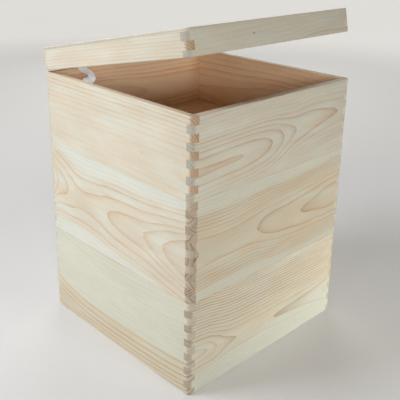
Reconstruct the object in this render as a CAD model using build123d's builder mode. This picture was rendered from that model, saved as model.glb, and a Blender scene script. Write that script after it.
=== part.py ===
# Potato storage bin of raw pine: three finger-jointed rings of boards, one on another, with a base
# panel and a lift-out shelf. The lid is the top slice of the third ring, sawn off and closed with a
# thin panel, and turns on two butt hinges at the back. A ribbon inside the left wall stops it.
#
# Frame: +X to the right, +Y to the back, +Z up. The origin is the middle of the base, on the ground.
# The lid is built closed and then turned open by OPEN_ANGLE, the pose in which the bin is at rest.
from build123d import *

import os
from math import asin, cos, radians, sin, tan

os.makedirs("parts", exist_ok=True)

# ------------------------------------------------------------------ driving dimensions, mm, degrees
WIDTH = 300.0  # whole bin, left to right
DEPTH = 300.0  # whole bin, front to back
WALL = 10.0  # thickness of every wall board and lid rail
CORNER_RADIUS = 7.5  # upright outer corners
RIM_EASE = 1.5  # sanded edges where body and lid meet, and under the base
PANEL_EASE = 1.2  # sanded edge around the lid's top

FINGER = 10.2  # height of one finger of the corner joint
RING_FINGERS = 13  # fingers in one ring of boards
RIM_FINGERS = 10  # fingers of the top ring that stay on the body
SAW_CUT = 2.8  # wood lost where the lid was sawn off

BASE_PANEL = 6.0  # thickness
BASE_REBATE = 5.0  # how far the base panel is let into the walls
BASE_FIT = 0.25  # play around the base panel

LEDGE = 10.0  # square section of the two shelf ledges
LEDGE_CHAMFER = 1.0  # on the ledges' long inner edges
SHELF_PANEL = 5.0  # thickness
SHELF_PLAY = 1.0  # play between the loose shelf and each wall
SHELF_CORNER = 2.0
FINGER_HOLE = 28.0  # diameter of the hole that lifts the shelf
FINGER_HOLE_EASE = 0.8

LID_PANEL = 4.0  # thickness of the panel on the lid's rails
LID_GAP = 0.4  # between rim and lid when the lid is closed
OPEN_ANGLE = 12.2  # how far open the lid stands at rest

HINGE_SPACING = 170.0  # between the middles of the two hinges
HINGE_LENGTH = 40.0  # along the pin
HINGE_LEAF = 15.0  # height of a leaf from the pin's centre
LEAF_THICKNESS = 1.5
LEAF_CORNER = 2.0
KNUCKLE_RADIUS = 2.5
KNUCKLE_GAP = 0.2  # along the pin, between knuckles of the two leaves
PIN_RADIUS = 1.25
PIN_PLAY = 0.05  # radial clearance of the pin in its knuckles
PIN_HEAD_RADIUS = 1.9
PIN_HEAD = 0.8  # height of the domed head at each end of a pin

SCREW_SPACING = 24.0  # between the two screws of one leaf
SCREW_DROP = 9.0  # from the pin's centre to the screws
SCREW_LENGTH = 9.0
SCREW_HEAD_RADIUS = 2.6
SCREW_RADIUS = 1.2
SCREW_TIP = 2.0  # length of the pointed end
SCREW_PLAY = 0.05  # radial clearance in the wood
LEAF_HOLE_PLAY = 0.3  # radial clearance in a leaf's hole
SINK_PLAY = 0.1  # how much wider the countersink is than the screw's head, in radius
RECESS_WIDTH = 0.6  # cross recess in a screw's head
RECESS_LENGTH = 2.8
RECESS_DEPTH = 0.7

RIBBON_WIDTH = 18.0
RIBBON_THICKNESS = 0.8
RIBBON_BACK = 73.0  # from the back of the bin to the ribbon's middle
RIBBON_TAB = 6.0  # ribbon past each tack
RIBBON_BULGE = 18.0  # how far the fold stands out from the wall
FOLD_BELOW_RIM = 2.5  # where the fold's lower side starts
FOLD_ABOVE_RIM = 3.5  # where the fold's upper side ends
RIBBON_STEP = 6.0  # the hanging loop's width
LOOP_BELOW_RIM = 51.5
LOOP_TOP = 6.0  # below the rim, where the loop turns into the fold
BODY_TACK_BELOW_RIM = 18.0
LID_TACK_BELOW_PANEL = 9.2  # below the top of the lid's rail
TAB_BELOW_EDGE = 4.0  # where the fold's upper side aims at the rail, below the rail's lower edge
RIBBON_BENDS = [2.9, 2.9, 5.0, 4.0, 4.0, 6.0]  # radii, from the hanging loop to the lid's rail

TACK_HEAD_RADIUS = 3.5
TACK_HEAD = 1.6  # height of the domed head
TACK_RADIUS = 0.6
TACK_LENGTH = 6.5  # shank in the wood
TACK_PLAY = 0.05

# ------------------------------------------------------------------------------- sizes that follow
RING = RING_FINGERS * FINGER
RIM_HEIGHT = RIM_FINGERS * FINGER  # height of the top ring's part that stays on the body
RIM_Z = 2 * RING + RIM_HEIGHT
LID_RAIL = RING - RIM_HEIGHT - SAW_CUT
LID_Z = RIM_Z + LID_GAP
INNER_X = WIDTH / 2 - WALL
INNER_Y = DEPTH / 2 - WALL

HINGE_Y = DEPTH / 2 + KNUCKLE_RADIUS
HINGE_Z = RIM_Z + LID_GAP / 2
HINGE_AXIS = Axis((0, HINGE_Y, HINGE_Z), (-1, 0, 0))
HINGE_PLACES = {"left": -HINGE_SPACING / 2, "right": HINGE_SPACING / 2}

RIBBON_Y = DEPTH / 2 - RIBBON_BACK
RIBBON_EDGE_Z = HINGE_Z + (HINGE_Y - RIBBON_Y) * tan(radians(OPEN_ANGLE))
RIBBON_EDGE_Z += LID_GAP / 2 / cos(radians(OPEN_ANGLE))
BODY_TACK_Z = RIM_Z - BODY_TACK_BELOW_RIM
LID_TACK_Z = RIBBON_EDGE_Z + LID_RAIL - LID_TACK_BELOW_PANEL


def keep(part, node):
    """Label a finished piece and write its STEP file."""
    part.label = node
    export_step(part, f"parts/{node}.step")


def keep_on_lid(part, node):
    """Turn a piece of the closed lid to the open pose and write it."""
    keep(part.rotate(HINGE_AXIS, OPEN_ANGLE), node)


def closed_place(y, z):
    """Where a point of the open lid lies when the lid is closed."""
    turn = radians(OPEN_ANGLE)
    dy, dz = y - HINGE_Y, z - HINGE_Z
    return HINGE_Y + dy * cos(turn) - dz * sin(turn), HINGE_Z + dy * sin(turn) + dz * cos(turn)


def dome_middle(radius, height):
    """Halfway along the profile of a spherical dome: how far up, and how far from its axis."""
    ball = (radius**2 + height**2) / (2 * height)
    half_turn = asin(radius / ball) / 2
    return ball * cos(half_turn) - ball + height, ball * sin(half_turn)


# ------------------------------------------------------------------------------------ outer forms
# The carcass and the lid are each one smooth hollow form, from which the boards are cut, so that
# rounded corners and sanded edges run across the joints.
with BuildPart() as carcass_form:
    with BuildSketch():
        RectangleRounded(WIDTH, DEPTH, CORNER_RADIUS)
    extrude(amount=RIM_Z)
    fillet(carcass_form.edges().group_by(Axis.Z)[0], RIM_EASE)
    fillet(carcass_form.edges().group_by(Axis.Z)[-1], RIM_EASE)
    with BuildSketch():
        Rectangle(2 * INNER_X, 2 * INNER_Y)
    extrude(amount=RIM_Z, mode=Mode.SUBTRACT)
    fillet(carcass_form.faces().sort_by(Axis.Z)[-1].inner_wires().edges(), RIM_EASE)
    with BuildSketch():
        Rectangle(2 * (INNER_X + BASE_REBATE), 2 * (INNER_Y + BASE_REBATE))
    extrude(amount=BASE_PANEL, mode=Mode.SUBTRACT)

with BuildPart() as lid_form:
    with BuildSketch(Plane.XY.offset(LID_Z)):
        RectangleRounded(WIDTH, DEPTH, CORNER_RADIUS)
    extrude(amount=LID_RAIL + LID_PANEL)
    fillet(lid_form.edges().group_by(Axis.Z)[0], RIM_EASE)
    fillet(lid_form.edges().group_by(Axis.Z)[-1], PANEL_EASE)
    with BuildSketch(Plane.XY.offset(LID_Z)):
        Rectangle(2 * INNER_X, 2 * INNER_Y)
    extrude(amount=LID_RAIL, mode=Mode.SUBTRACT)
    fillet(lid_form.faces().sort_by(Axis.Z)[0].inner_wires().edges(), RIM_EASE)


# ------------------------------------------------------------------------------ boards of the rings
SIDES = ("front", "back", "left", "right")


def fingers(owner_of_ends, low, high):
    """The fingers of a ring between two heights: (low, high, which boards run through)."""
    other = {"front_back": "left_right", "left_right": "front_back"}[owner_of_ends]
    found = []
    for i in range(RING_FINGERS):
        bottom, top = max(i * FINGER, low), min((i + 1) * FINGER, high)
        if top > bottom:
            found.append((bottom, top, other if i % 2 else owner_of_ends))
    return found


def board(side, layers, lift, form):
    """One board, from a full-length strip: a socket where the boards it meets run through."""
    along_x = side in ("front", "back")
    sign = 1 if side in ("back", "right") else -1
    length, reach = (WIDTH, DEPTH) if along_x else (DEPTH, WIDTH)
    middle = sign * (reach / 2 - WALL / 2)
    low, high = layers[0][0], layers[-1][1]
    with BuildPart() as strip:
        with BuildSketch(Plane.XY.offset(lift + low)):
            with Locations((0, middle) if along_x else (middle, 0)):
                Rectangle(length if along_x else WALL, WALL if along_x else length)
        extrude(amount=high - low)
        for bottom, top, through in layers:
            if side in through.split("_"):
                continue
            ends = [sign_end * (length / 2 - WALL / 2) for sign_end in (-1, 1)]
            with BuildSketch(Plane.XY.offset(lift + bottom)):
                with Locations(*[(end, middle) if along_x else (middle, end) for end in ends]):
                    Rectangle(WALL, WALL)
            extrude(amount=top - bottom, mode=Mode.SUBTRACT)
        add(form, mode=Mode.INTERSECT)
    return strip.part


def drill(part, places, radius, depth, direction):
    """A piece with blind round holes that start at the given places."""
    with BuildPart() as drilled:
        add(part)
        for place in places:
            with BuildSketch(Plane(origin=place, z_dir=direction)):
                Circle(radius)
            extrude(amount=depth, mode=Mode.SUBTRACT)
    return drilled.part


def screw_places(z):
    """The screws of both hinges' leaves at one height, on the back face."""
    offsets = (-SCREW_SPACING / 2, SCREW_SPACING / 2)
    return [(x + offset, DEPTH / 2, z) for x in HINGE_PLACES.values() for offset in offsets]


PILOT_RADIUS = SCREW_RADIUS + SCREW_PLAY
PILOT_DEPTH = SCREW_LENGTH - LEAF_THICKNESS + SCREW_PLAY
TACK_HOLE = TACK_RADIUS + TACK_PLAY
TACK_HOLE_DEPTH = TACK_LENGTH + TACK_PLAY
INTO_BACK, INTO_LEFT = (0, -1, 0), (-1, 0, 0)

RINGS = {"bottom": (0, "left_right"), "middle": (1, "left_right"), "top": (2, "front_back")}

for ring, (number, owner_of_ends) in RINGS.items():
    height = RIM_HEIGHT if ring == "top" else RING
    ring_layers = fingers(owner_of_ends, 0, height)
    for side in SIDES:
        ring_board = board(side, ring_layers, number * RING, carcass_form.part)
        if (ring, side) == ("top", "back"):
            places = screw_places(HINGE_Z - SCREW_DROP)
            ring_board = drill(ring_board, places, PILOT_RADIUS, PILOT_DEPTH, INTO_BACK)
        if (ring, side) == ("top", "left"):
            places = [(-INNER_X, RIBBON_Y, BODY_TACK_Z)]
            ring_board = drill(ring_board, places, TACK_HOLE, TACK_HOLE_DEPTH, INTO_LEFT)
        keep(ring_board, f"{ring}_ring_{side}_board")

# --------------------------------------------------------------------------------- lid, built closed
lid_layers = fingers(RINGS["top"][1], RIM_HEIGHT + SAW_CUT, RING)
lid_lift = LID_Z - RIM_HEIGHT - SAW_CUT

for side in SIDES:
    rail = board(side, lid_layers, lid_lift, lid_form.part)
    if side == "back":
        places = screw_places(HINGE_Z + SCREW_DROP)
        rail = drill(rail, places, PILOT_RADIUS, PILOT_DEPTH, INTO_BACK)
    if side == "left":
        places = [(-INNER_X, *closed_place(RIBBON_Y, LID_TACK_Z))]
        rail = drill(rail, places, TACK_HOLE, TACK_HOLE_DEPTH, INTO_LEFT)
    keep_on_lid(rail, f"lid_{side}_rail")

with BuildPart() as lid_top_panel:
    with BuildSketch(Plane.XY.offset(LID_Z + LID_RAIL)):
        Rectangle(WIDTH, DEPTH)
    extrude(amount=LID_PANEL)
    add(lid_form.part, mode=Mode.INTERSECT)
keep_on_lid(lid_top_panel.part, "lid_top_panel")

# -------------------------------------------------------------------------------- base and shelf
with BuildPart() as base_panel:
    with BuildSketch():
        Rectangle(
            2 * (INNER_X + BASE_REBATE - BASE_FIT),
            2 * (INNER_Y + BASE_REBATE - BASE_FIT),
        )
    extrude(amount=BASE_PANEL)
keep(base_panel.part, "base_panel")

SHELF_Z = 2 * RING + LEDGE

for side, sign in (("left", -1), ("right", 1)):
    with BuildPart() as ledge:
        with BuildSketch(Plane.XY.offset(SHELF_Z - LEDGE)):
            with Locations((sign * (INNER_X - LEDGE / 2), 0)):
                Rectangle(LEDGE, 2 * INNER_Y)
        extrude(amount=LEDGE)
        inner_edges = ledge.edges().filter_by(Axis.Y).sort_by(Axis.X)
        chamfer(inner_edges[:2] if sign > 0 else inner_edges[-2:], LEDGE_CHAMFER)
    keep(ledge.part, f"shelf_ledge_{side}")

with BuildPart() as shelf_panel:
    with BuildSketch(Plane.XY.offset(SHELF_Z)):
        RectangleRounded(2 * (INNER_X - SHELF_PLAY), 2 * (INNER_Y - SHELF_PLAY), SHELF_CORNER)
        Circle(FINGER_HOLE / 2, mode=Mode.SUBTRACT)
    extrude(amount=SHELF_PANEL)
    round_edges = shelf_panel.edges().filter_by(GeomType.CIRCLE)
    fillet(round_edges.sort_by(SortBy.RADIUS)[-2:], FINGER_HOLE_EASE)
keep(shelf_panel.part, "shelf_panel")


# ---------------------------------------------------------------------------------------- hinges
def knuckle_spans(x, leaf):
    """Where along the pin a leaf has knuckles: the body's leaf has the two outer ones."""
    third = HINGE_LENGTH / 3
    half = HINGE_LENGTH / 2
    if leaf == "lid":
        return [(x - third / 2 + KNUCKLE_GAP, x + third / 2 - KNUCKLE_GAP)]
    return [(x - half, x - third / 2), (x + third / 2, x + half)]


def hinge_leaf(x, leaf):
    """A leaf on the back face, closed: a plate with countersunk holes, and its knuckles."""
    way = 1 if leaf == "lid" else -1
    near = KNUCKLE_RADIUS + 2 * KNUCKLE_GAP
    face = DEPTH / 2
    with BuildPart() as plate:
        with BuildSketch(Plane.XZ.offset(-face - LEAF_THICKNESS)):
            with Locations((x, HINGE_Z + way * (near + HINGE_LEAF) / 2)):
                Rectangle(HINGE_LENGTH, HINGE_LEAF - near)
        extrude(amount=LEAF_THICKNESS)
        far_edges = plate.edges().filter_by(Axis.Y).sort_by(Axis.Z)
        fillet(far_edges[-2:] if way > 0 else far_edges[:2], LEAF_CORNER)
        for start, end in knuckle_spans(x, leaf):
            with BuildSketch(Plane.YZ.offset(start)):
                with Locations((HINGE_Y, HINGE_Z)):
                    Circle(KNUCKLE_RADIUS)
                with Locations((face + LEAF_THICKNESS / 2, HINGE_Z + way * near / 2)):
                    Rectangle(LEAF_THICKNESS, near)
            extrude(amount=end - start)
        with BuildSketch(Plane.YZ.offset(x - HINGE_LENGTH / 2)):
            with Locations((HINGE_Y, HINGE_Z)):
                Circle(PIN_RADIUS + PIN_PLAY)
        extrude(amount=HINGE_LENGTH, mode=Mode.SUBTRACT)
        for offset in (-SCREW_SPACING / 2, SCREW_SPACING / 2):
            seat = (x + offset, face + LEAF_THICKNESS, HINGE_Z + way * SCREW_DROP)
            with Locations(Plane(origin=seat, z_dir=(0, 1, 0))):
                CounterSinkHole(
                    radius=SCREW_RADIUS + LEAF_HOLE_PLAY,
                    counter_sink_radius=SCREW_HEAD_RADIUS + SINK_PLAY,
                    depth=2 * LEAF_THICKNESS,
                    counter_sink_angle=90,
                )
    return plate.part


def hinge_pin(x):
    """A plain pin with a low domed head at each end."""
    half = HINGE_LENGTH / 2
    up, out = dome_middle(PIN_HEAD_RADIUS, PIN_HEAD)
    with BuildPart() as pin:
        with BuildSketch(Plane.XY.offset(HINGE_Z)):
            with BuildLine(Plane((x, HINGE_Y, HINGE_Z))):
                Line((-half - PIN_HEAD, 0), (half + PIN_HEAD, 0))
                ThreePointArc((half + PIN_HEAD, 0), (half + up, out), (half, PIN_HEAD_RADIUS))
                Polyline(
                    (half, PIN_HEAD_RADIUS),
                    (half, PIN_RADIUS),
                    (-half, PIN_RADIUS),
                    (-half, PIN_HEAD_RADIUS),
                )
                ThreePointArc((-half, PIN_HEAD_RADIUS), (-half - up, out), (-half - PIN_HEAD, 0))
            make_face()
        revolve(axis=Axis((x, HINGE_Y, HINGE_Z), (1, 0, 0)))
    return pin.part


def screws(z):
    """Countersunk wood screws with a cross recess, driven into the back at one height."""
    head = SCREW_HEAD_RADIUS - SCREW_RADIUS
    with BuildPart() as driven:
        for x, face, _ in screw_places(z):
            top = face + LEAF_THICKNESS
            with BuildSketch(Plane.XY.offset(z)):
                with BuildLine():
                    Polyline(
                        (x, top),
                        (x + SCREW_HEAD_RADIUS, top),
                        (x + SCREW_RADIUS, top - head),
                        (x + SCREW_RADIUS, top - SCREW_LENGTH + SCREW_TIP),
                        (x, top - SCREW_LENGTH),
                        close=True,
                    )
                make_face()
            revolve(axis=Axis((x, top, z), (0, 1, 0)))
            with BuildSketch(Plane.XZ.offset(-top)):
                with Locations((x, z)):
                    Rectangle(RECESS_WIDTH, RECESS_LENGTH)
                    Rectangle(RECESS_LENGTH, RECESS_WIDTH)
            extrude(amount=RECESS_DEPTH, mode=Mode.SUBTRACT)
    return driven.part


for side, x in HINGE_PLACES.items():
    keep(hinge_leaf(x, "body"), f"{side}_hinge_body_leaf")
    keep(hinge_pin(x), f"{side}_hinge_pin")
    keep_on_lid(hinge_leaf(x, "lid"), f"{side}_hinge_lid_leaf")

keep(screws(HINGE_Z - SCREW_DROP), "hinge_body_screws")
keep_on_lid(screws(HINGE_Z + SCREW_DROP), "hinge_lid_screws")

# ------------------------------------------------------------------------------------ stay ribbon
# Seen along Y, the ribbon runs from the body's tack down into a loop, up to the rim, out into a fold
# and back to the lid's rail. Its length between the tacks is what lets the lid open to 95 degrees.
ribbon_x = -INNER_X + RIBBON_THICKNESS / 2
ribbon_route = [
    (ribbon_x, BODY_TACK_Z + RIBBON_TAB),
    (ribbon_x, RIM_Z - LOOP_BELOW_RIM),
    (ribbon_x + RIBBON_STEP, RIM_Z - LOOP_BELOW_RIM),
    (ribbon_x + RIBBON_STEP, RIM_Z - LOOP_TOP),
    (ribbon_x + RIBBON_BULGE, RIM_Z - FOLD_BELOW_RIM),
    (ribbon_x + RIBBON_BULGE, RIM_Z + FOLD_ABOVE_RIM),
    (ribbon_x, RIBBON_EDGE_Z - TAB_BELOW_EDGE),
    (ribbon_x, LID_TACK_Z + RIBBON_TAB),
]

with BuildPart() as stay_ribbon:
    with BuildSketch(Plane.XZ.offset(-RIBBON_Y)):
        with BuildLine() as ribbon_line:
            FilletPolyline(*ribbon_route, radius=RIBBON_BENDS)
        trace(line_width=RIBBON_THICKNESS)
    extrude(amount=RIBBON_WIDTH / 2, both=True)
    for z in (BODY_TACK_Z, LID_TACK_Z):
        with BuildSketch(Plane.YZ.offset(-INNER_X)):
            with Locations((RIBBON_Y, z)):
                Circle(TACK_HOLE)
        extrude(amount=RIBBON_THICKNESS, mode=Mode.SUBTRACT)
keep(stay_ribbon.part, "stay_ribbon")


def tack(z):
    """A dome-headed tack through the ribbon into the left side."""
    head_x = -INNER_X + RIBBON_THICKNESS
    tip_x = -INNER_X - TACK_LENGTH
    up, out = dome_middle(TACK_HEAD_RADIUS, TACK_HEAD)
    with BuildPart() as nail:
        with BuildSketch(Plane.XZ.offset(-RIBBON_Y)):
            with BuildLine():
                ThreePointArc(
                    (head_x + TACK_HEAD, z),
                    (head_x + up, z + out),
                    (head_x, z + TACK_HEAD_RADIUS),
                )
                Polyline(
                    (head_x, z + TACK_HEAD_RADIUS),
                    (head_x, z + TACK_RADIUS),
                    (tip_x + 2 * TACK_RADIUS, z + TACK_RADIUS),
                    (tip_x, z),
                    (head_x + TACK_HEAD, z),
                )
            make_face()
        revolve(axis=Axis((0, RIBBON_Y, z), (1, 0, 0)))
    return nail.part


keep(tack(BODY_TACK_Z), "stay_body_tack")
keep(tack(LID_TACK_Z), "stay_lid_tack")

ribbon_length = sum(edge.length for edge in ribbon_line.edges())
print(f"ribbon {ribbon_length:.1f} mm, {ribbon_length - 2 * RIBBON_TAB:.1f} mm between the tacks")
print(f"rim {RIM_Z:.1f}, closed height {LID_Z + LID_RAIL + LID_PANEL:.1f}, lid rail {LID_RAIL:.1f}")
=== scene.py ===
"""Looks for a potato storage bin of raw pine with a hinged lid.

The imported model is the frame: its boards, panels, hinges and tacks keep their shapes and get their
finishes here, and the satin stay ribbon is made here as cloth. One unit is a metre, +X is to the
right, +Y is to the back and +Z is up.
"""

import math

import bpy
from bpy.props import FloatProperty, FloatVectorProperty, PointerProperty
from bpy.types import Operator, Panel, PropertyGroup
from mathutils import Matrix, Vector


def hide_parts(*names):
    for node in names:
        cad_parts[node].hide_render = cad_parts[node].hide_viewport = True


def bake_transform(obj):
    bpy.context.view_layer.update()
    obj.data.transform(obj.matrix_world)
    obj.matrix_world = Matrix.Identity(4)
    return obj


bl_info = {
    "name": "Potato storage bin",
    "version": (1, 0, 0),
    "blender": (4, 5, 0),
    "location": "View3D > Sidebar > Storage bin",
    "description": "Finishes a pine storage bin and hangs its stay ribbon",
    "category": "Object",
}

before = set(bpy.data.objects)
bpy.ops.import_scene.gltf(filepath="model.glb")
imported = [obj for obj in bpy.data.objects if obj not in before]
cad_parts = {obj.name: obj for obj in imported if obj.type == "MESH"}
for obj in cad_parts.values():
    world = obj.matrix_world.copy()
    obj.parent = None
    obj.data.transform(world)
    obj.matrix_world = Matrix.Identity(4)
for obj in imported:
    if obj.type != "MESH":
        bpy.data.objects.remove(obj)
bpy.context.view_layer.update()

MM = 0.001

# ------------------------------------------------------------------------------ sizes of the bin, mm
HALF_SIDE = 150.0  # from the middle of the bin to an outer face
WALL = 10.0
FINGER = 10.2  # height of one finger of the corner joint
RING = 13 * FINGER  # height of one ring of boards
RIM = 367.2  # top of the body, where the lid was sawn off
SAW_STEP = 2.4  # how much lower the closed lid sits than it stood on the uncut ring
HINGE = (0.0, 0.1525, 0.3674)  # metres
OPEN_ANGLE = math.radians(12.2)

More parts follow.
